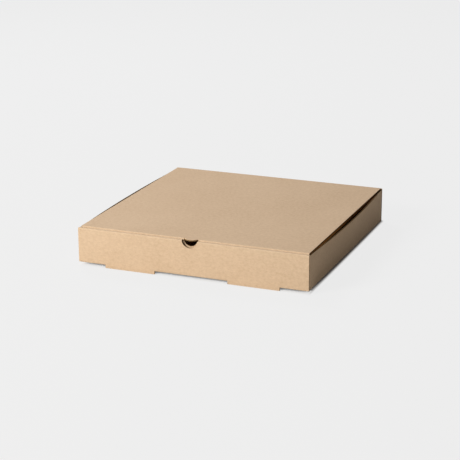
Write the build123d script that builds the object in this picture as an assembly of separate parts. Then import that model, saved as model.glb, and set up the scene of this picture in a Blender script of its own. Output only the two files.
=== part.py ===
from build123d import *
import os

# A closed pizza box, folded from one sheet of thin corrugated kraft board.
# Millimetres. X runs along the front, Y from the front to the back, Z up.
# The origin is on the ground under the centre of the box.

# overall sizes, outside to outside
box_width = 305.0
box_depth = 305.0
front_height = 45.0          # underside of the base to the top of the front wall
lid_rise = 1.0               # top of the lid above the top of the front wall

# the sheet
board = 1.6                  # thickness of the corrugated board
crease_radius = 1.5          # outer radius of a fold, a little under the thickness
layer_gap = 0.15             # air between two layers that lie against each other
moving_gap = 0.3             # air between the lid and the tray

# feet and locking tabs of the roll-over front wall
foot_width = 67.2
foot_centre = 82.1           # from the middle of the box to the middle of a foot
tab_side_gap = 1.5           # between a tab and each end of its slot
tab_back_gap = 0.2           # between a tab and the far edge of its slot

# finger notch in the front wall, and the tongue of the lid that covers its top
notch_radius = 10.4
inner_notch_radius = 8.9
notch_centre = -1.0          # middle of the notch and of the tongue, from the middle of the box
notch_rise = 1.3             # centre of the round notches above the top of the front wall
inner_notch_shift = 0.3      # the inner panel is folded down a little to the right
tongue_side_gap = 1.8        # between the tongue and the notch, where the tongue is widest
tongue_back = 1.0            # tip of the tongue behind the face of the front wall

# side walls, which lean out between their held ends
right_bow = 5.2
left_bow = 3.8
held_end = 9.0               # stretch at each end that stays upright
corner_flap_length = 31.0
corner_flap_drop = 1.2       # top of a corner flap below the top of its side wall

# lid
lid_inset = 1.8              # each side edge of the lid inside the outer face of the tray
lid_corner_radius = 4.0      # at the two ends of the hinge fold
tuck_height = 29.0           # from the top of the lid to the lower edge of its tuck flap
tuck_lean = 1.5              # how far the flap leans into the box at its lower edge
tuck_side_gap = 3.5          # between each end of the tuck flap and the side wall
tuck_taper = 4.0             # how much shorter each end of the tuck flap is at its lower edge
tuck_corner_radius = 8.0
tuck_fold_gap = 0.4          # between the front wall and the front fold of the lid
tuck_notch_radius = 9.6

# places worked out from the sizes above
half_width = box_width / 2
wall_inner_x = half_width - board
strip_half_width = wall_inner_x - layer_gap
lid_half_width = half_width - lid_inset
tuck_half_width = wall_inner_x - tuck_side_gap
tongue_half_width = notch_radius - tongue_side_gap

front_y = -box_depth / 2
back_y = box_depth / 2
front_inner_y = front_y + board
front_flap_y = front_inner_y + layer_gap
inner_panel_y = front_flap_y + board + layer_gap
strip_back_y = inner_panel_y + board
slot_back_y = strip_back_y + tab_back_gap
lid_front_y = strip_back_y + tuck_fold_gap
back_inner_y = back_y - board
back_flap_y = back_inner_y - layer_gap

base_z = slot_back_y - front_inner_y      # a foot is the piece cut out of its slot, turned down
floor_z = base_z + board
front_top = base_z + front_height
strip_under = front_top - board
lid_top = front_top + lid_rise
lid_under = lid_top - board
wall_top = lid_under - moving_gap
tuck_bottom = lid_top - tuck_height
beyond = 2 * board                        # how far a cutter reaches past what it cuts


def slab(x0, x1, y0, y1, z0, z1):
    size = Box(abs(x1 - x0), abs(y1 - y0), abs(z1 - z0))
    return Pos((x0 + x1) / 2, (y0 + y1) / 2, (z0 + z1) / 2) * size


def rounded_outline(points, corners, radius):
    outline = make_face(Polyline(*points, close=True))
    sharp = [v for v in outline.vertices() if any((v.center() - Vector(*c)).length < 0.001 for c in corners)]
    return fillet(sharp, radius)


def fold_along_x(side_view, folds, half_length):
    # a side view in Y and Z, rounded at its folds and drawn out both ways along X
    outline = rounded_outline([(0, *p) for p in side_view], [(0, *f) for f in folds], crease_radius)
    return extrude(outline, amount=half_length, both=True)


def round_cut(radius, x, y0, y1):
    # a round cut along Y, centred a little above the top of the front wall
    return Pos(x, (y0 + y1) / 2, front_top + notch_rise) * Rot(X=90) * Cylinder(radius, y1 - y0)


def front_wall():
    # outer panel, narrow top strip and inner panel: one length of board rolled over
    stub_y = front_y + beyond
    panel_bottom = floor_z + layer_gap
    side_view = [
        (stub_y, base_z),
        (front_y, base_z),
        (front_y, front_top),
        (strip_back_y, front_top),
        (strip_back_y, panel_bottom),
        (inner_panel_y, panel_bottom),
        (inner_panel_y, strip_under),
        (front_inner_y, strip_under),
        (front_inner_y, floor_z),
        (stub_y, floor_z),
    ]
    folds = [(front_y, base_z), (front_y, front_top), (strip_back_y, front_top)]
    wall = fold_along_x(side_view, folds, half_width)
    # only the outer panel is as wide as the tray, and the rest stands between the side walls
    for side in (-1, 1):
        x0 = side * strip_half_width
        x1 = side * (half_width + beyond)
        wall -= slab(x0, x1, front_inner_y, strip_back_y + beyond, floor_z, front_top + beyond)
    # the strip is cut as wide as the outer panel, and the inner panel a little narrower
    wide = round_cut(notch_radius, notch_centre, front_y - beyond, strip_back_y + beyond)
    wall -= wide - slab(-box_width, box_width, inner_panel_y, back_y, 0, strip_under)
    inner_centre = notch_centre + inner_notch_shift
    wall -= round_cut(inner_notch_radius, inner_centre, inner_panel_y, strip_back_y + beyond)
    return wall


def back_wall():
    # the wall, the hinge fold and the start of the lid, before the hinge slit parts them
    stub_y = back_y - beyond
    side_view = [
        (stub_y, base_z),
        (back_y, base_z),
        (back_y, lid_top),
        (stub_y, lid_top),
        (stub_y, lid_under),
        (back_inner_y, lid_under),
        (back_inner_y, floor_z),
        (stub_y, floor_z),
    ]
    return fold_along_x(side_view, [(back_y, base_z), (back_y, lid_top)], half_width)


def hinge_side(side):
    # all that lies above (1) or below (-1) the slanted slit that parts the lid from the back wall
    reach = 2 * (box_width + box_depth)
    slant = Plane(origin=(0, back_y, lid_top), x_dir=(1, 0, 0), z_dir=(0, -1, 1))
    return slant.location * Pos(0, 0, side * (reach + moving_gap) / 2) * Box(reach, reach, reach)


def side_wall(side, bow):
    # upright at its held ends, and between them the top edge curves out and the wall leans with it
    outer_x = side * half_width
    inner_x = side * wall_inner_x
    low_z = base_z + crease_radius
    y0 = front_flap_y + held_end
    y1 = back_flap_y - held_end
    lower = make_face(Polyline(
        (outer_x, y0, low_z), (outer_x, y1, low_z), (inner_x, y1, low_z), (inner_x, y0, low_z), close=True))
    mid_y = (y0 + y1) / 2
    outer_mid_x = outer_x + side * bow
    inner_mid_x = inner_x + side * bow
    outer = ThreePointArc((outer_x, y0, wall_top), (outer_mid_x, mid_y, wall_top), (outer_x, y1, wall_top))
    inner = ThreePointArc((inner_x, y1, wall_top), (inner_mid_x, mid_y, wall_top), (inner_x, y0, wall_top))
    upper = make_face([outer, Line(outer @ 1, inner @ 0), inner, Line(inner @ 1, outer @ 0)])
    wall = loft([lower, upper], ruled=True)
    wall += slab(outer_x, inner_x, front_flap_y, y0, low_z, wall_top)
    wall += slab(outer_x, inner_x, y1, back_flap_y, low_z, wall_top)
    return wall


def corner_flap(side, y_outer, inward):
    # a flap folded from the end of a side wall, inside the front or the back wall
    x_end = side * (half_width - corner_flap_length)
    y_inner = y_outer + inward * board
    return slab(side * half_width, x_end, y_outer, y_inner, floor_z + layer_gap, wall_top - corner_flap_drop)


def corner_waste(side, y_outer, inward):
    # what lies outside the curve of an upright corner fold
    x_centre = side * (half_width - crease_radius)
    y_centre = y_outer + inward * crease_radius
    height = front_top - base_z
    block = slab(x_centre, side * (half_width + beyond), y_centre, y_outer - inward * beyond, base_z, front_top)
    return block - Pos(x_centre, y_centre, base_z + height / 2) * Cylinder(crease_radius, height)


def base_panel():
    panel = slab(-half_width, half_width, front_inner_y, back_inner_y, base_z, floor_z)
    lower_sides = panel.edges().filter_by(Axis.Y).group_by(Axis.Z)[0]
    return fillet(lower_sides, crease_radius)


def make_tray():
    tray = base_panel() + front_wall() + (back_wall() & hinge_side(-1))
    for side, bow in ((-1, left_bow), (1, right_bow)):
        wall = side_wall(side, bow)
        for y_outer, inward in ((front_flap_y, 1), (back_flap_y, -1)):
            wall += corner_flap(side, y_outer, inward)
            wall -= corner_waste(side, y_outer, inward)
        tray += wall
    for centre in (-foot_centre, foot_centre):
        x0 = centre - foot_width / 2
        x1 = centre + foot_width / 2
        tray -= slab(x0, x1, front_inner_y, slot_back_y, 0, floor_z)
        tray += slab(x0, x1, front_y, front_inner_y, 0, base_z + beyond)
        tray += slab(x0 + tab_side_gap, x1 - tab_side_gap, inner_panel_y, strip_back_y, base_z, floor_z + beyond)
    return tray


def lid_plan():
    plan = slab(-lid_half_width, lid_half_width, front_y, back_y, 0, lid_top)
    back_corners = plan.edges().filter_by(Axis.Z).group_by(Axis.Y)[-1]
    return fillet(back_corners, lid_corner_radius)


def tuck_front_view():
    # the lid seen from the front: full width at the top, and the tapered tuck flap below
    low_half_width = tuck_half_width - tuck_taper
    low_corners = [(-low_half_width, 0, tuck_bottom), (low_half_width, 0, tuck_bottom)]
    points = [
        (-lid_half_width, 0, lid_top),
        (-lid_half_width, 0, lid_under),
        (-tuck_half_width, 0, lid_under),
        *low_corners,
        (tuck_half_width, 0, lid_under),
        (lid_half_width, 0, lid_under),
        (lid_half_width, 0, lid_top),
    ]
    return extrude(rounded_outline(points, low_corners, tuck_corner_radius), amount=box_depth, both=True)


def tongue():
    # a flat rounded lip in the plane of the lid, left standing when the tuck flap folds down
    root_y = lid_front_y + 2 * board
    left = (-tongue_half_width, lid_front_y)
    right = (tongue_half_width, lid_front_y)
    rim = ThreePointArc(left, (0, front_y + tongue_back), right)
    rest = Polyline(right, (tongue_half_width, root_y), (-tongue_half_width, root_y), left)
    lip = extrude(make_face([rim, rest]), amount=board, dir=(0, 0, 1))
    return Pos(notch_centre, 0, lid_under) * lip


def make_lid():
    flap_inner_y = lid_front_y + board
    stub_y = back_y - beyond
    side_view = [
        (stub_y, lid_top),
        (lid_front_y, lid_top),
        (lid_front_y + tuck_lean, tuck_bottom),
        (flap_inner_y + tuck_lean, tuck_bottom),
        (flap_inner_y, lid_under),
        (stub_y, lid_under),
    ]
    lid = fold_along_x(side_view, [(lid_front_y, lid_top)], lid_half_width)
    lid = (lid & tuck_front_view()) + (back_wall() & hinge_side(1))
    lid = lid & lid_plan()
    # the notch of the flap runs up through the fold, on each side of the tongue
    notch = round_cut(tuck_notch_radius, notch_centre, front_y, flap_inner_y + tuck_lean)
    lid -= notch - slab(-half_width, half_width, flap_inner_y, 0, lid_under, lid_top)
    return lid + tongue()


os.makedirs("parts", exist_ok=True)
export_step(make_tray().solid(), "parts/tray.step")
export_step(make_lid().solid(), "parts/lid.step")
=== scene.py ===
import math

import bmesh
import bpy
from mathutils import Matrix, Vector


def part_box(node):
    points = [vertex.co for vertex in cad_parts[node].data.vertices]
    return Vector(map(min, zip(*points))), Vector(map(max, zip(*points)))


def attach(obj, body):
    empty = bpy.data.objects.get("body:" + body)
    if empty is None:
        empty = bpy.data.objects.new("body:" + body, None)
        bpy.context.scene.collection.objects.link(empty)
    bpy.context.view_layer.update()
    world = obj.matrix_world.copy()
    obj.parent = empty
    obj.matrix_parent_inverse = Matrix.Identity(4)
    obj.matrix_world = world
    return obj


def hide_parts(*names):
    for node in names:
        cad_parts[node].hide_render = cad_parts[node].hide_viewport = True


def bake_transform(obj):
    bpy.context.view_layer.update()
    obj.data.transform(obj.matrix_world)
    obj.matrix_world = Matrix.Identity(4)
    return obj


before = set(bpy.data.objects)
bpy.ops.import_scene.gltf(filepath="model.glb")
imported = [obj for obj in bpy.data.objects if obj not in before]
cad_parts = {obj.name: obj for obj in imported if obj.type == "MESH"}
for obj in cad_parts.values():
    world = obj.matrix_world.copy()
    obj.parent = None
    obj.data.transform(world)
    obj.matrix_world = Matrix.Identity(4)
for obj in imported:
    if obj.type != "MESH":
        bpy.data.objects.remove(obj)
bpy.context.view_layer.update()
trayLow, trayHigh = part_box("tray")
lidLow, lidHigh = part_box("lid")
scene = bpy.context.scene
scene.view_settings.view_transform = "Standard"
mm = 0.001
print("frame loaded")

# sizes of the folded sheet, as the tray and the lid were cut
sheet = {
    "board": 1.6 * mm,
    "baseHeight": 3.7 * mm,      # underside of the base above the ground, on its front feet
    "creaseRadius": 1.5 * mm,
    "lidInset": 1.8 * mm,
    "heldEnd": 9.0 * mm,         # upright stretch at each end of a side wall
    "movingGap": 0.3 * mm,
    "layerGap": 0.15 * mm,
    "frontHeight": 45.0 * mm,
    "flutePitch": 3.3 * mm,
    "notchReach": 12.5 * mm,     # the finger notch and the tongue lie within this of the middle
}
halfWidth = lidHigh[0] + sheet["lidInset"]
frontY, backY = trayLow[1], trayHigh[1]
lidTop = lidHigh[2]
lidUnder = lidTop - sheet["board"]
wallTop = lidUnder - sheet["movingGap"]
panelTop = sheet["baseHeight"] + sheet["frontHeight"]


# camera, set against the middle of the base
cameraPlace = {
    "azimuth": 22.034,
    "elevation": 17.68,
    "roll": -0.259,
    "lens": 113.42,
    "distance": 1903.8 * mm,
    "right": -8.776 * mm,
    "up": 13.343 * mm,
}


def placeCamera(place):
    turn, lift, roll = (math.radians(place[k]) for k in ("azimuth", "elevation", "roll"))
    back = Vector((math.sin(turn) * math.cos(lift), -math.cos(turn) * math.cos(lift), math.sin(lift)))
    level = Vector((math.cos(turn), math.sin(turn), 0))
    upright = back.cross(level)
    right = level * math.cos(roll) + upright * math.sin(roll)
    up = upright * math.cos(roll) - level * math.sin(roll)
    spot = Vector((0, 0, sheet["baseHeight"])) + right * place["right"] + up * place["up"]
    spot += back * place["distance"]
    turned = Matrix((right, up, back)).transposed().to_4x4()
    data = bpy.data.cameras.new("camera")
    data.lens = place["lens"]
    data.sensor_width = 36.0
    data.clip_start = 0.01
    data.clip_end = 60.0
    camera = bpy.data.objects.new("camera", data)
    camera.matrix_world = Matrix.Translation(spot) @ turned
    scene.collection.objects.link(camera)
    scene.camera = camera


placeCamera(cameraPlace)
print("camera placed")


# materials
def addNode(nodes, kind, **values):
    node = nodes.new(kind)
    for name, value in values.items():
        setattr(node, name, value)
    return node


def feed(tree, pairs):
    for source, target in pairs:
        tree.links.new(source, target)


def mathNode(tree, operation, first, second=0.0):
    node = addNode(tree.nodes, "ShaderNodeMath", operation=operation)
    for socket, value in zip(node.inputs, (first, second)):
        if isinstance(value, (int, float)):
            socket.default_value = value
        else:
            tree.links.new(value, socket)
    return node.outputs[0]


def rampNode(tree, value, start, end, kind="LINEAR"):
    node = addNode(tree.nodes, "ShaderNodeMapRange", interpolation_type=kind)
    node.inputs["From Min"].default_value = start
    node.inputs["From Max"].default_value = end
    tree.links.new(value, node.inputs["Value"])
    return node.outputs[0]


# noise: scale, detail, roughness and stretch
paperGrain = {
    "cloud": (14, 3, 0.55, (1, 1, 1)),
    "fibre": (900, 4, 0.65, (0.5, 1, 1)),
    "grain": (300, 3, 0.6, (0.75, 1, 1)),
    "speck": (1500, 2, 0.5, (0.25, 1, 1)),
    "speckLevel": 0.70,
    "darkShare": 0.35,       # of the dark paper colour, on average
    "ribTone": 0.02,
    "ribHeight": 0.35,
    "roughness": 0.82,
    "roughSpread": 0.3,
    "bumpDepth": 0.1 * mm,
}


def makeKraftGroup(grain):
    # paper fibres, cloudy patches, dark specks and the faint ribs of the flutes behind the liner
    group = bpy.data.node_groups.new("kraftPaper", "ShaderNodeTree")
    face = group.interface
    face.new_socket("Paper", in_out="INPUT", socket_type="NodeSocketColor")
    face.new_socket("Dark Paper", in_out="INPUT", socket_type="NodeSocketColor")
    for name, value in (("Cloud", 0.5), ("Fibre", 0.5), ("Speck", 0.5), ("Rib", 0.5)):
        face.new_socket(name, in_out="INPUT", socket_type="NodeSocketFloat").default_value = value
    face.new_socket("Color", in_out="OUTPUT", socket_type="NodeSocketColor")
    face.new_socket("Roughness", in_out="OUTPUT", socket_type="NodeSocketFloat")
    face.new_socket("Height", in_out="OUTPUT", socket_type="NodeSocketFloat")
    nodes = group.nodes
    inputs = addNode(nodes, "NodeGroupInput")
    outputs = addNode(nodes, "NodeGroupOutput")
    coords = addNode(nodes, "ShaderNodeTexCoord")
    place = coords.outputs["Object"]

    def noise(scale, detail, rough, stretch):
        mapping = addNode(nodes, "ShaderNodeMapping")
        mapping.inputs["Scale"].default_value = stretch
        texture = addNode(nodes, "ShaderNodeTexNoise")
        texture.inputs["Scale"].default_value = scale
        texture.inputs["Detail"].default_value = detail
        texture.inputs["Roughness"].default_value = rough
        feed(group, [(place, mapping.inputs["Vector"]), (mapping.outputs[0], texture.inputs["Vector"])])
        return texture.outputs["Fac"]

    def math2(operation, first, second=0.0):
        return mathNode(group, operation, first, second)

    def centred(value, amount):
        return math2("MULTIPLY", math2("SUBTRACT", value, 0.5), amount)

    cloud = centred(noise(*grain["cloud"]), inputs.outputs["Cloud"])
    fibre = centred(noise(*grain["fibre"]), inputs.outputs["Fibre"])
    coarse = centred(noise(*grain["grain"]), inputs.outputs["Fibre"])
    specks = math2("GREATER_THAN", noise(*grain["speck"]), grain["speckLevel"])
    speck = math2("MULTIPLY", specks, inputs.outputs["Speck"])
    # the ribs lie along X: they are counted along Y on flat panels and up Z on the front and back
    split = addNode(nodes, "ShaderNodeSeparateXYZ")
    normal = addNode(nodes, "ShaderNodeSeparateXYZ")
    feed(group, [(place, split.inputs[0]), (coords.outputs["Normal"], normal.inputs[0])])
    facesFront = math2("GREATER_THAN", math2("ABSOLUTE", normal.outputs["Y"]), 0.7)
    along = addNode(nodes, "ShaderNodeMix", data_type="FLOAT")
    feed(group, [(facesFront, along.inputs[0]), (split.outputs["Y"], along.inputs[2]),
                 (split.outputs["Z"], along.inputs[3])])
    rib = math2("SINE", math2("MULTIPLY", along.outputs[0], 2 * math.pi / sheet["flutePitch"]))
    ribTone = math2("MULTIPLY", math2("MULTIPLY", rib, grain["ribTone"]), inputs.outputs["Rib"])
    tone = math2("ADD", math2("ADD", cloud, fibre), math2("ADD", coarse, ribTone))
    darkShare = addNode(nodes, "ShaderNodeClamp")
    feed(group, [(math2("ADD", math2("SUBTRACT", grain["darkShare"], tone), speck), darkShare.inputs[0])])
    colour = addNode(nodes, "ShaderNodeMix", data_type="RGBA")
    feed(group, [(darkShare.outputs[0], colour.inputs[0]), (inputs.outputs["Paper"], colour.inputs[6]),
                 (inputs.outputs["Dark Paper"], colour.inputs[7]),
                 (colour.outputs[2], outputs.inputs["Color"])])
    rough = math2("ADD", grain["roughness"], math2("MULTIPLY", fibre, grain["roughSpread"]))
    ribHeight = math2("MULTIPLY", math2("MULTIPLY", rib, grain["ribHeight"]), inputs.outputs["Rib"])
    height = math2("ADD", math2("ADD", fibre, coarse), ribHeight)
    feed(group, [(rough, outputs.inputs["Roughness"]), (height, outputs.inputs["Height"])])
    return group


kraftGroup = makeKraftGroup(paperGrain)

kraftFinishes = {
    "kraftLiner": {
        "paper": (0.73, 0.54, 0.366), "darkPaper": (0.585, 0.41, 0.257),
        "cloud": 0.6, "fibre": 1.25, "speck": 0.45, "rib": 1.2, "bump": 0.3, "specular": 0.25,
    },
    # the outsides of the rounded folds: paper a little lighter than the liner, a painted highlight
    "kraftCreaseHighlight": {
        "paper": (0.75, 0.56, 0.38), "darkPaper": (0.62, 0.44, 0.275),
        "cloud": 0.4, "fibre": 1.1, "speck": 0.2, "rib": 0.0, "bump": 0.3, "specular": 0.25,
    },
    "kraftCutEdge": {
        "paper": (0.30, 0.185, 0.085), "darkPaper": (0.19, 0.11, 0.045),
        "cloud": 0.3, "fibre": 1.0, "speck": 0.3, "rib": 0.0, "bump": 0.35, "specular": 0.15,
    },
    "kraftFlutes": {
        "paper": (0.24, 0.14, 0.06), "darkPaper": (0.15, 0.08, 0.03),
        "cloud": 0.3, "fibre": 0.8, "speck": 0.3, "rib": 0.0, "bump": 0.2, "specular": 0.15,
    },
}


def makeKraft(name, finish):
    material = bpy.data.materials.new(name)
    material.use_nodes = True
    tree = material.node_tree
    tree.nodes.clear()
    output = addNode(tree.nodes, "ShaderNodeOutputMaterial")
    shader = addNode(tree.nodes, "ShaderNodeBsdfPrincipled")
    shader.inputs["Specular IOR Level"].default_value = finish["specular"]
    paper = addNode(tree.nodes, "ShaderNodeGroup", node_tree=kraftGroup)
    paper.inputs["Paper"].default_value = (*finish["paper"], 1)
    paper.inputs["Dark Paper"].default_value = (*finish["darkPaper"], 1)
    for socket, key in (("Cloud", "cloud"), ("Fibre", "fibre"), ("Speck", "speck"), ("Rib", "rib")):
        paper.inputs[socket].default_value = finish[key]
    bump = addNode(tree.nodes, "ShaderNodeBump")
    bump.inputs["Strength"].default_value = finish["bump"]
    bump.inputs["Distance"].default_value = paperGrain["bumpDepth"]
    feed(tree, [(paper.outputs["Color"], shader.inputs["Base Color"]),
                (paper.outputs["Roughness"], shader.inputs["Roughness"]),
                (paper.outputs["Height"], bump.inputs["Height"]),
                (bump.outputs[0], shader.inputs["Normal"]),
                (shader.outputs[0], output.inputs["Surface"])])
    return material


kraft = {name: makeKraft(name, finish) for name, finish in kraftFinishes.items()}
print("materials made")


# the folded board, with the cut edges of its side walls and lid opened between the liners
cutEdges = {
    "rim": 0.28 * mm,      # thickness of a liner at a cut edge
    "depth": 2.4 * mm,     # how far the open flutes can be seen into
    "near": 0.08 * mm,
    "weld": 0.002 * mm,
    "sharpAngle": 35,      # degrees: the facets of a fold are less than this apart
}
# where the plain cut edges are looked for
trayEdges = {
    "frontDepth": 6.0 * mm,     # all layers of the rolled front wall lie within this
    "notchLow": 37.0 * mm,
    "notchTop": 0.2 * mm,       # under the top of the front wall
    "footTop": 0.1 * mm,        # under the base
    "slotInner": 40.0 * mm,     # the slots lie further out than this, and lower than slotTop
    "slotTop": 6.0 * mm,
    "slotFront": 2.0 * mm,
    "flapEnd": (110.0 * mm, 125.0 * mm),
    "flapLow": 40.0 * mm,
    "flapTop": 0.1 * mm,        # under the top of the side walls
}
lidEdges = {
    "tongueDepth": 5.4 * mm,
    "cornerX": 5.5 * mm,
    "cornerY": 4.5 * mm,
}
linerSlot, edgeSlot, creaseHighlightSlot = 0, 1, 2


def isTrayFluteEdge(centre, normal):
    near = cutEdges["near"]
    atSide = abs(normal.x) > 0.99 and abs(abs(centre.x) - halfWidth) < near
    frontEdge = atSide and centre.y < frontY + sheet["board"] + near
    backEdge = atSide and centre.y > backY - sheet["board"] - near
    topEdge = normal.z > 0.99 and abs(centre.z - wallTop) < near
    return frontEdge or backEdge or topEdge


def isTrayPlainEdge(centre, normal):
    inFront = centre.y < frontY + trayEdges["frontDepth"]
    crosswise = abs(normal.y) < 0.5
    notchHeight = trayEdges["notchLow"] < centre.z < panelTop - trayEdges["notchTop"]
    inNotch = inFront and notchHeight and abs(centre.x) < sheet["notchReach"]
    notchEdge = inNotch and crosswise and normal.z > -0.5
    footEdge = crosswise and centre.z < sheet["baseHeight"] - trayEdges["footTop"]
    inSlot = inFront and abs(centre.x) > trayEdges["slotInner"] and centre.z < trayEdges["slotTop"]
    slotEdge = inSlot and normal.y < -0.9 and centre.y > frontY + trayEdges["slotFront"]
    flapStart, flapStop = trayEdges["flapEnd"]
    flapEdge = abs(normal.x) > 0.99 and flapStart < abs(centre.x) < flapStop
    flapTop = normal.z > 0.99 and trayEdges["flapLow"] < centre.z < wallTop - trayEdges["flapTop"]
    return notchEdge or footEdge or slotEdge or flapEdge or flapTop


def isLidFluteEdge(centre, normal):
    return abs(normal.x) > 0.99 and abs(abs(centre.x) - lidHigh[0]) < cutEdges["near"]


def isLidPlainEdge(centre, normal):
    aroundFlap = centre.z < lidUnder and abs(normal.y) < 0.5
    onTongue = abs(centre.x) < sheet["notchReach"] and centre.y < frontY + lidEdges["tongueDepth"]
    tongueRim = onTongue and centre.z > lidUnder and abs(normal.z) < 0.5
    inCorner = centre.y > backY - lidEdges["cornerY"] and abs(centre.x) > halfWidth - lidEdges["cornerX"]
    cornerRim = inCorner and abs(normal.x) > 0.25
    return aroundFlap or tongueRim or cornerRim


def isCreaseHighlight(centre, normal):
    # the rounded outside of a fold that runs along X, which gets paper painted a little lighter: a painted
    # highlight
    slope = 0.2
    return min(abs(normal.y), abs(normal.z)) > slope and abs(normal.x) < slope


def makeBoard(name, node, isFluteEdge, isPlainEdge):
    bm = bmesh.new()
    bm.from_mesh(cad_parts[node].data)
    bmesh.ops.remove_doubles(bm, verts=bm.verts, dist=cutEdges["weld"])
    bmesh.ops.dissolve_degenerate(bm, edges=bm.edges, dist=cutEdges["weld"] / 2)
    bm.normal_update()
    opened = []
    for face in bm.faces:
        centre = face.calc_center_median()
        if isFluteEdge(centre, face.normal):
            face.material_index = edgeSlot
            opened.append(face)
        elif isPlainEdge(centre, face.normal):
            face.material_index = edgeSlot
        # the rounded folds take the lighter paper, which is a painted highlight
        elif isCreaseHighlight(centre, face.normal):
            face.material_index = creaseHighlightSlot
        else:
            face.material_index = linerSlot
    # each cut edge becomes one face, so that the liners keep an even thickness round it
    opened = bmesh.ops.dissolve_faces(bm, faces=opened)["region"]
    bmesh.ops.inset_individual(bm, faces=opened, thickness=cutEdges["rim"], use_even_offset=True)
    bmesh.ops.inset_individual(bm, faces=opened, thickness=cutEdges["weld"], depth=-cutEdges["depth"])
    mesh = bpy.data.meshes.new(name)
    bm.to_mesh(mesh)
    bm.free()
    for finish in ("kraftLiner", "kraftCutEdge", "kraftCreaseHighlight"):
        mesh.materials.append(kraft[finish])
    mesh.polygons.foreach_set("use_smooth", [True] * len(mesh.polygons))
    mesh.set_sharp_from_angle(angle=math.radians(cutEdges["sharpAngle"]))
    piece = bpy.data.objects.new(name, mesh)
    scene.collection.objects.link(piece)
    rounded = piece.modifiers.new("roundedFolds", "WEIGHTED_NORMAL")    # panels look flat, folds look round
    rounded.keep_sharp = True
    print(name, len(mesh.polygons), "faces,", len(opened), "at open edges")
    return piece


trayBoard = makeBoard("tray_board", "tray", isTrayFluteEdge, isTrayPlainEdge)
lidBoard = makeBoard("lid_board", "lid", isLidFluteEdge, isLidPlainEdge)


# flutes: a row of waves of thin paper that shows between the liners along a cut edge
flutes = {
    "pitch": sheet["flutePitch"],
    "paper": 0.18 * mm,
    "pointsPerWave": 10,
    "setBack": 0.25 * mm,    # the wave starts this far inside the edge
    "endMargin": 0.4 * mm,
    "lidFront": 6.5 * mm,    # from the tip of the tongue to the start of a row in the lid
    "lidBack": 4.6 * mm,     # from the hinge fold to its end
    "sharpAngle": 40,
}


def makeFluteTree():
    tree = bpy.data.node_groups.new("fluteRow", "GeometryNodeTree")
    face = tree.interface
    for name in ("Start", "Along", "Inward", "Across"):
        face.new_socket(name, in_out="INPUT", socket_type="NodeSocketVector")
    for name in ("Length", "Pitch", "Wave Height", "Depth", "Bow", "Paper"):
        face.new_socket(name, in_out="INPUT", socket_type="NodeSocketFloat")
    face.new_socket("Points", in_out="INPUT", socket_type="NodeSocketInt")
    face.new_socket("Material", in_out="INPUT", socket_type="NodeSocketMaterial")
    face.new_socket("Geometry", in_out="OUTPUT", socket_type="NodeSocketGeometry")
    nodes = tree.nodes
    given = addNode(nodes, "NodeGroupInput").outputs
    result = addNode(nodes, "NodeGroupOutput")

    def math2(operation, first, second=0.0):
        return mathNode(tree, operation, first, second)

    def vector2(operation, first, second):
        node = addNode(nodes, "ShaderNodeVectorMath", operation=operation)
        tree.links.new(first, node.inputs[0])
        tree.links.new(second, node.inputs["Scale"] if operation == "SCALE" else node.inputs[1])
        return node.outputs[0]

    grid = addNode(nodes, "GeometryNodeMeshGrid")
    grid.inputs["Vertices X"].default_value = 2
    feed(tree, [(given["Depth"], grid.inputs["Size X"]), (given["Length"], grid.inputs["Size Y"]),
                (given["Points"], grid.inputs["Vertices Y"])])
    spot = addNode(nodes, "ShaderNodeSeparateXYZ")
    tree.links.new(addNode(nodes, "GeometryNodeInputPosition").outputs[0], spot.inputs[0])
    inwardPart = math2("ADD", spot.outputs["X"], math2("MULTIPLY", given["Depth"], 0.5))
    alongPart = math2("ADD", spot.outputs["Y"], math2("MULTIPLY", given["Length"], 0.5))
    angle = math2("MULTIPLY", math2("DIVIDE", alongPart, given["Pitch"]), 2 * math.pi)
    wave = math2("MULTIPLY", math2("SINE", angle), math2("MULTIPLY", given["Wave Height"], 0.5))
    share = math2("DIVIDE", alongPart, given["Length"])
    arc = math2("MULTIPLY", math2("MULTIPLY", share, math2("SUBTRACT", 1.0, share)), 4.0)
    acrossPart = math2("ADD", wave, math2("MULTIPLY", arc, given["Bow"]))
    moved = vector2("ADD", given["Start"], vector2("SCALE", given["Along"], alongPart))
    moved = vector2("ADD", moved, vector2("SCALE", given["Inward"], inwardPart))
    moved = vector2("ADD", moved, vector2("SCALE", given["Across"], acrossPart))
    place = addNode(nodes, "GeometryNodeSetPosition")
    feed(tree, [(grid.outputs["Mesh"], place.inputs["Geometry"]), (moved, place.inputs["Position"])])
    thick = addNode(nodes, "GeometryNodeExtrudeMesh", mode="FACES")
    thick.inputs["Individual"].default_value = False
    flip = addNode(nodes, "GeometryNodeFlipFaces")
    join = addNode(nodes, "GeometryNodeJoinGeometry")
    merge = addNode(nodes, "GeometryNodeMergeByDistance")
    merge.inputs["Distance"].default_value = cutEdges["weld"]
    real = addNode(nodes, "GeometryNodeRealizeInstances")
    paint = addNode(nodes, "GeometryNodeSetMaterial")
    feed(tree, [(place.outputs[0], thick.inputs["Mesh"]), (given["Paper"], thick.inputs["Offset Scale"]),
                (place.outputs[0], flip.inputs[0]), (thick.outputs["Mesh"], join.inputs[0]),
                (flip.outputs[0], join.inputs[0]), (join.outputs[0], merge.inputs[0]),
                (merge.outputs[0], real.inputs[0]), (real.outputs[0], paint.inputs["Geometry"]),
                (given["Material"], paint.inputs["Material"]), (paint.outputs[0], result.inputs[0])])
    return tree


fluteTree = makeFluteTree()
fluteInputs = [item for item in fluteTree.interface.items_tree if item.in_out == "INPUT"]
fluteSockets = {item.name: item.identifier for item in fluteInputs}


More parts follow.
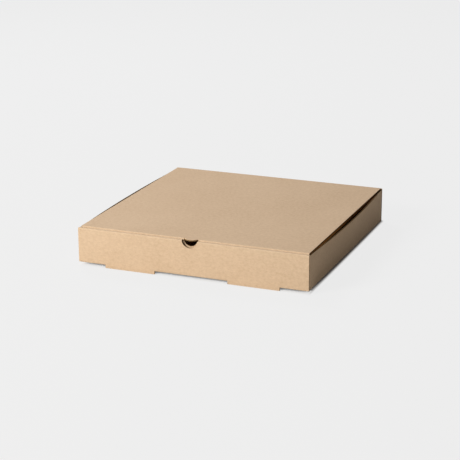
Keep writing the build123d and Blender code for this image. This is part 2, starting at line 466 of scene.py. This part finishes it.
def fluteRow(start, along, inward, across, length, bow=0.0):
    # one row as a plain mesh: the values go in before the modifier is first run
    carrier = bpy.data.objects.new("fluteCarrier", bpy.data.meshes.new("fluteCarrier"))
    modifier = carrier.modifiers.new("flutes", "NODES")
    modifier.node_group = fluteTree
    values = {
        "Start": start, "Along": along, "Inward": inward, "Across": across, "Length": length,
        "Pitch": flutes["pitch"], "Paper": flutes["paper"], "Bow": bow,
        "Wave Height": sheet["board"] - 2 * cutEdges["rim"] - flutes["paper"],
        "Depth": cutEdges["depth"] - flutes["setBack"],
        "Points": int(length / flutes["pitch"] * flutes["pointsPerWave"]),
        "Material": kraft["kraftFlutes"],
    }
    for name, value in values.items():
        modifier[fluteSockets[name]] = value
    scene.collection.objects.link(carrier)
    evaluated = carrier.evaluated_get(bpy.context.evaluated_depsgraph_get())
    mesh = bpy.data.meshes.new_from_object(evaluated)
    carrier.modifiers.remove(modifier)
    bpy.data.objects.remove(carrier)
    return mesh


def joinRows(name, meshes):
    bm = bmesh.new()
    for mesh in meshes:
        bm.from_mesh(mesh)
    bmesh.ops.recalc_face_normals(bm, faces=bm.faces)
    joined = bpy.data.meshes.new(name)
    bm.to_mesh(joined)
    bm.free()
    joined.materials.append(kraft["kraftFlutes"])
    joined.polygons.foreach_set("use_smooth", [True] * len(joined.polygons))
    joined.set_sharp_from_angle(angle=math.radians(flutes["sharpAngle"]))
    piece = bpy.data.objects.new(name, joined)
    scene.collection.objects.link(piece)
    print(name, len(joined.polygons), "faces")
    return piece


halfBoard = sheet["board"] / 2
endMargin = cutEdges["rim"] + flutes["endMargin"]
ahead, up, down = (0, 1, 0), (0, 0, 1), (0, 0, -1)
lidStart = lidLow[1] + flutes["lidFront"]
lidLength = backY - flutes["lidBack"] - lidStart
wallLow = sheet["baseHeight"] + sheet["creaseRadius"] + endMargin
wallLength = panelTop - sheet["creaseRadius"] - endMargin - wallLow
bowStart = frontY + sheet["board"] + sheet["layerGap"] + sheet["heldEnd"]
lidRows = []
trayRows = []
for side in (-1, 1):
    inward, outward = (-side, 0, 0), (side, 0, 0)
    inX = side * flutes["setBack"]
    lidEdge = (side * lidHigh[0] - inX, lidStart, lidTop - halfBoard)
    lidRows.append(fluteRow(lidEdge, ahead, inward, up, lidLength))
    for edgeY in (frontY + halfBoard, backY - halfBoard):
        wallEnd = (side * halfWidth - inX, edgeY, wallLow)
        trayRows.append(fluteRow(wallEnd, up, inward, ahead, wallLength))
    bow = (trayHigh[0] if side > 0 else -trayLow[0]) - halfWidth
    topEdge = (side * (halfWidth - halfBoard), bowStart, wallTop - flutes["setBack"])
    trayRows.append(fluteRow(topEdge, ahead, down, outward, -2 * bowStart, bow))
lidFlutes = joinRows("lid_flutes", lidRows)
trayFlutes = joinRows("tray_flutes", trayRows)
print("flutes made")


# liner paper that carries on over the hinge fold
hingeSkin = {
    "reach": 7.0 * mm,
    "proud": 0.05 * mm,
    "thickness": 0.25 * mm,
    "steps": 16,
    "flatSteps": 5,
    "sharpAngle": 30,
    "endInset": 4.4 * mm,
}


def makeHingeSkin(skin):
    radius = sheet["creaseRadius"]
    centreY, centreZ = backY - radius, lidTop - radius
    flat = skin["flatSteps"]
    profile = [((1.0, 0.0), (0.0, -skin["reach"] * (1 - i / flat))) for i in range(flat)]
    for i in range(skin["steps"] + 1):
        turn = math.pi / 2 * i / skin["steps"]
        profile.append(((math.cos(turn), math.sin(turn)), (0.0, 0.0)))
    profile += [((0.0, 1.0), (-skin["reach"] * (i + 1) / flat, 0.0)) for i in range(flat)]
    half = halfWidth - skin["endInset"]
    bm = bmesh.new()
    rings = []
    for (ny, nz), (dy, dz) in profile:
        ring = []
        for offset in (radius + skin["proud"], radius + skin["proud"] - skin["thickness"]):
            y, z = centreY + dy + ny * offset, centreZ + dz + nz * offset
            ring += [bm.verts.new((x, y, z)) for x in (-half, half)]
        rings.append([ring[0], ring[1], ring[3], ring[2]])
    for first, second in zip(rings, rings[1:]):
        for i in range(4):
            j = (i + 1) % 4
            bm.faces.new((first[i], first[j], second[j], second[i]))
    bm.faces.new(rings[0])
    bm.faces.new(rings[-1])
    bmesh.ops.recalc_face_normals(bm, faces=bm.faces)
    mesh = bpy.data.meshes.new("hinge_skin")
    bm.to_mesh(mesh)
    bm.free()
    mesh.materials.append(kraft["kraftLiner"])
    mesh.polygons.foreach_set("use_smooth", [True] * len(mesh.polygons))
    mesh.set_sharp_from_angle(angle=math.radians(skin["sharpAngle"]))
    piece = bpy.data.objects.new("hinge_skin", mesh)
    scene.collection.objects.link(piece)
    return piece


hingePiece = makeHingeSkin(hingeSkin)
print("hinge skin made")

# what moves with what
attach(trayBoard, "tray")
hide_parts("tray")
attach(lidBoard, "lid")
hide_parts("lid")
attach(trayFlutes, "tray")
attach(lidFlutes, "lid")
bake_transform(hingePiece)
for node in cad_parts.values():
    node.data.materials.clear()
    node.data.materials.append(kraft["kraftLiner"])
print("pieces joined to their bodies")

# floor: it carries the two front feet and the lower fold of the back wall
floorFinish = {
    "size": 24.0,
    "clear": 0.02 * mm,           # under what touches it
    "seen": (0.86, 0.86, 0.86),
    "shadowShare": 0.06,          # of real light and shade in the plain pale floor
    "contactReach": 4.6 * mm,     # real light and shade take over this near the box
    "frontContact": 0.6,         # how strongly, in front of the box and in its recesses
    "sideContact": 2.3,           # and elsewhere
    "frontDepth": 12.0 * mm,
    "frontBlend": 4.0 * mm,
    "sideBlend": 1.0 * mm,
    "gapReach": 20.0 * mm,        # how far the dark under the raised base is looked for
    "gapOpen": (0.035, 0.10),
    "gapShade": (0.035, 0.03, 0.025),
    "unseen": (0.70, 0.69, 0.67),
}


def makeFloor(finish):
    half = finish["size"] / 2
    slope = sheet["baseHeight"] / (backY - frontY)
    square = ((-half, -half), (half, -half), (half, half), (-half, half))
    corners = [(x, y, slope * (y - frontY) - finish["clear"]) for x, y in square]
    mesh = bpy.data.meshes.new("floor")
    mesh.from_pydata(corners, [], [(0, 1, 2, 3)])
    material = bpy.data.materials.new("paleFloor")
    material.use_nodes = True
    tree = material.node_tree
    tree.nodes.clear()
    output = addNode(tree.nodes, "ShaderNodeOutputMaterial")
    light = addNode(tree.nodes, "ShaderNodeLightPath")
    shown = mathNode(tree, "MAXIMUM", light.outputs["Is Camera Ray"], light.outputs["Is Glossy Ray"])
    shown = mathNode(tree, "MAXIMUM", shown, light.outputs["Is Transmission Ray"])
    shadowed = addNode(tree.nodes, "ShaderNodeBsdfDiffuse")
    glow = addNode(tree.nodes, "ShaderNodeEmission")

    def openness(reach):
        nearness = addNode(tree.nodes, "ShaderNodeAmbientOcclusion", samples=16)
        nearness.inputs["Distance"].default_value = reach
        return nearness.outputs["AO"]

    colour = addNode(tree.nodes, "ShaderNodeMix", data_type="RGBA")
    colour.inputs[6].default_value = (*finish["gapShade"], 1)
    colour.inputs[7].default_value = (*finish["seen"], 1)
    gapLight = rampNode(tree, openness(finish["gapReach"]), *finish["gapOpen"], "SMOOTHSTEP")
    feed(tree, [(gapLight, colour.inputs[0]), (colour.outputs[2], glow.inputs["Color"]),
                (colour.outputs[2], shadowed.inputs["Color"])])
    spot = addNode(tree.nodes, "ShaderNodeSeparateXYZ")
    tree.links.new(addNode(tree.nodes, "ShaderNodeTexCoord").outputs["Object"], spot.inputs[0])
    fromMiddle = mathNode(tree, "ABSOLUTE", spot.outputs["X"])
    beside = rampNode(tree, fromMiddle, halfWidth - finish["sideBlend"], halfWidth)
    depth = frontY + finish["frontDepth"]
    behind = rampNode(tree, spot.outputs["Y"], depth, depth + finish["frontBlend"])
    elsewhere = mathNode(tree, "MAXIMUM", beside, behind)
    extra = mathNode(tree, "MULTIPLY", elsewhere, finish["sideContact"] - finish["frontContact"])
    strength = mathNode(tree, "ADD", extra, finish["frontContact"])
    closeness = mathNode(tree, "SUBTRACT", 1.0, openness(finish["contactReach"]))
    near = mathNode(tree, "MULTIPLY", closeness, strength)
    share = rampNode(tree, mathNode(tree, "ADD", near, finish["shadowShare"]), 0.0, 1.0)
    seen = addNode(tree.nodes, "ShaderNodeMixShader")
    tree.links.new(share, seen.inputs[0])
    unseen = addNode(tree.nodes, "ShaderNodeBsdfDiffuse")
    unseen.inputs["Color"].default_value = (*finish["unseen"], 1)
    either = addNode(tree.nodes, "ShaderNodeMixShader")
    feed(tree, [(glow.outputs[0], seen.inputs[1]), (shadowed.outputs[0], seen.inputs[2]),
                (shown, either.inputs[0]), (unseen.outputs[0], either.inputs[1]),
                (seen.outputs[0], either.inputs[2]), (either.outputs[0], output.inputs["Surface"])])
    mesh.materials.append(material)
    floor = bpy.data.objects.new("floor", mesh)
    scene.collection.objects.link(floor)
    return floor


makeFloor(floorFinish)

# light: a big soft lamp at the front left, a weaker one above the back left, and a dim pale room
studio = {
    "lamps": {
        "keyLamp": {
            "place": (-1.3, -1.8, 1.19), "size": (0.9, 0.9), "power": 60.0, "color": (1.0, 0.98, 0.945),
        },
        "backLamp": {
            "place": (-1.1, 1.1, 1.5), "size": (0.8, 0.8), "power": 19.6, "color": (0.95, 0.96, 1.0),
        },
    },
    "room": 0.135,
    "roomColor": (1.0, 0.98, 0.95),
    "backdrop": (0.86, 0.86, 0.86),
}
# the little warm light that gets in under the bowed right wall
gapGlow = {
    "place": (115 * mm, 0.0, 44 * mm),
    "size": (20 * mm, 260 * mm),
    "power": 0.0042,
    "color": (1.0, 0.58, 0.19),
}


def makeLamp(name, values, aim):
    data = bpy.data.lights.new(name, "AREA")
    data.shape = "ELLIPSE"
    data.size, data.size_y = values["size"]
    data.energy = values["power"]
    data.color = values["color"]
    lamp = bpy.data.objects.new(name, data)
    lamp.location = values["place"]
    lamp.rotation_euler = (Vector(values["place"]) - Vector(aim)).to_track_quat("Z", "Y").to_euler()
    scene.collection.objects.link(lamp)
    return lamp


def makeLight(plan):
    for name, values in plan["lamps"].items():
        makeLamp(name, values, (0, 0, 0))
    world = bpy.data.worlds.new("paleRoom")
    scene.world = world
    world.use_nodes = True
    tree = world.node_tree
    tree.nodes.clear()
    output = addNode(tree.nodes, "ShaderNodeOutputWorld")
    room = addNode(tree.nodes, "ShaderNodeBackground")
    room.inputs["Color"].default_value = (*plan["roomColor"], 1)
    room.inputs["Strength"].default_value = plan["room"]
    seen = addNode(tree.nodes, "ShaderNodeBackground")
    seen.inputs["Color"].default_value = (*plan["backdrop"], 1)
    path = addNode(tree.nodes, "ShaderNodeLightPath")
    pick = addNode(tree.nodes, "ShaderNodeMixShader")
    feed(tree, [(path.outputs["Is Camera Ray"], pick.inputs[0]), (room.outputs[0], pick.inputs[1]),
                (seen.outputs[0], pick.inputs[2]), (pick.outputs[0], output.inputs["Surface"])])


makeLight(studio)
glowX, glowY, glowZ = gapGlow["place"]
makeLamp("gapGlow", gapGlow, (glowX, glowY, 0)).visible_camera = False
print("floor and light made")
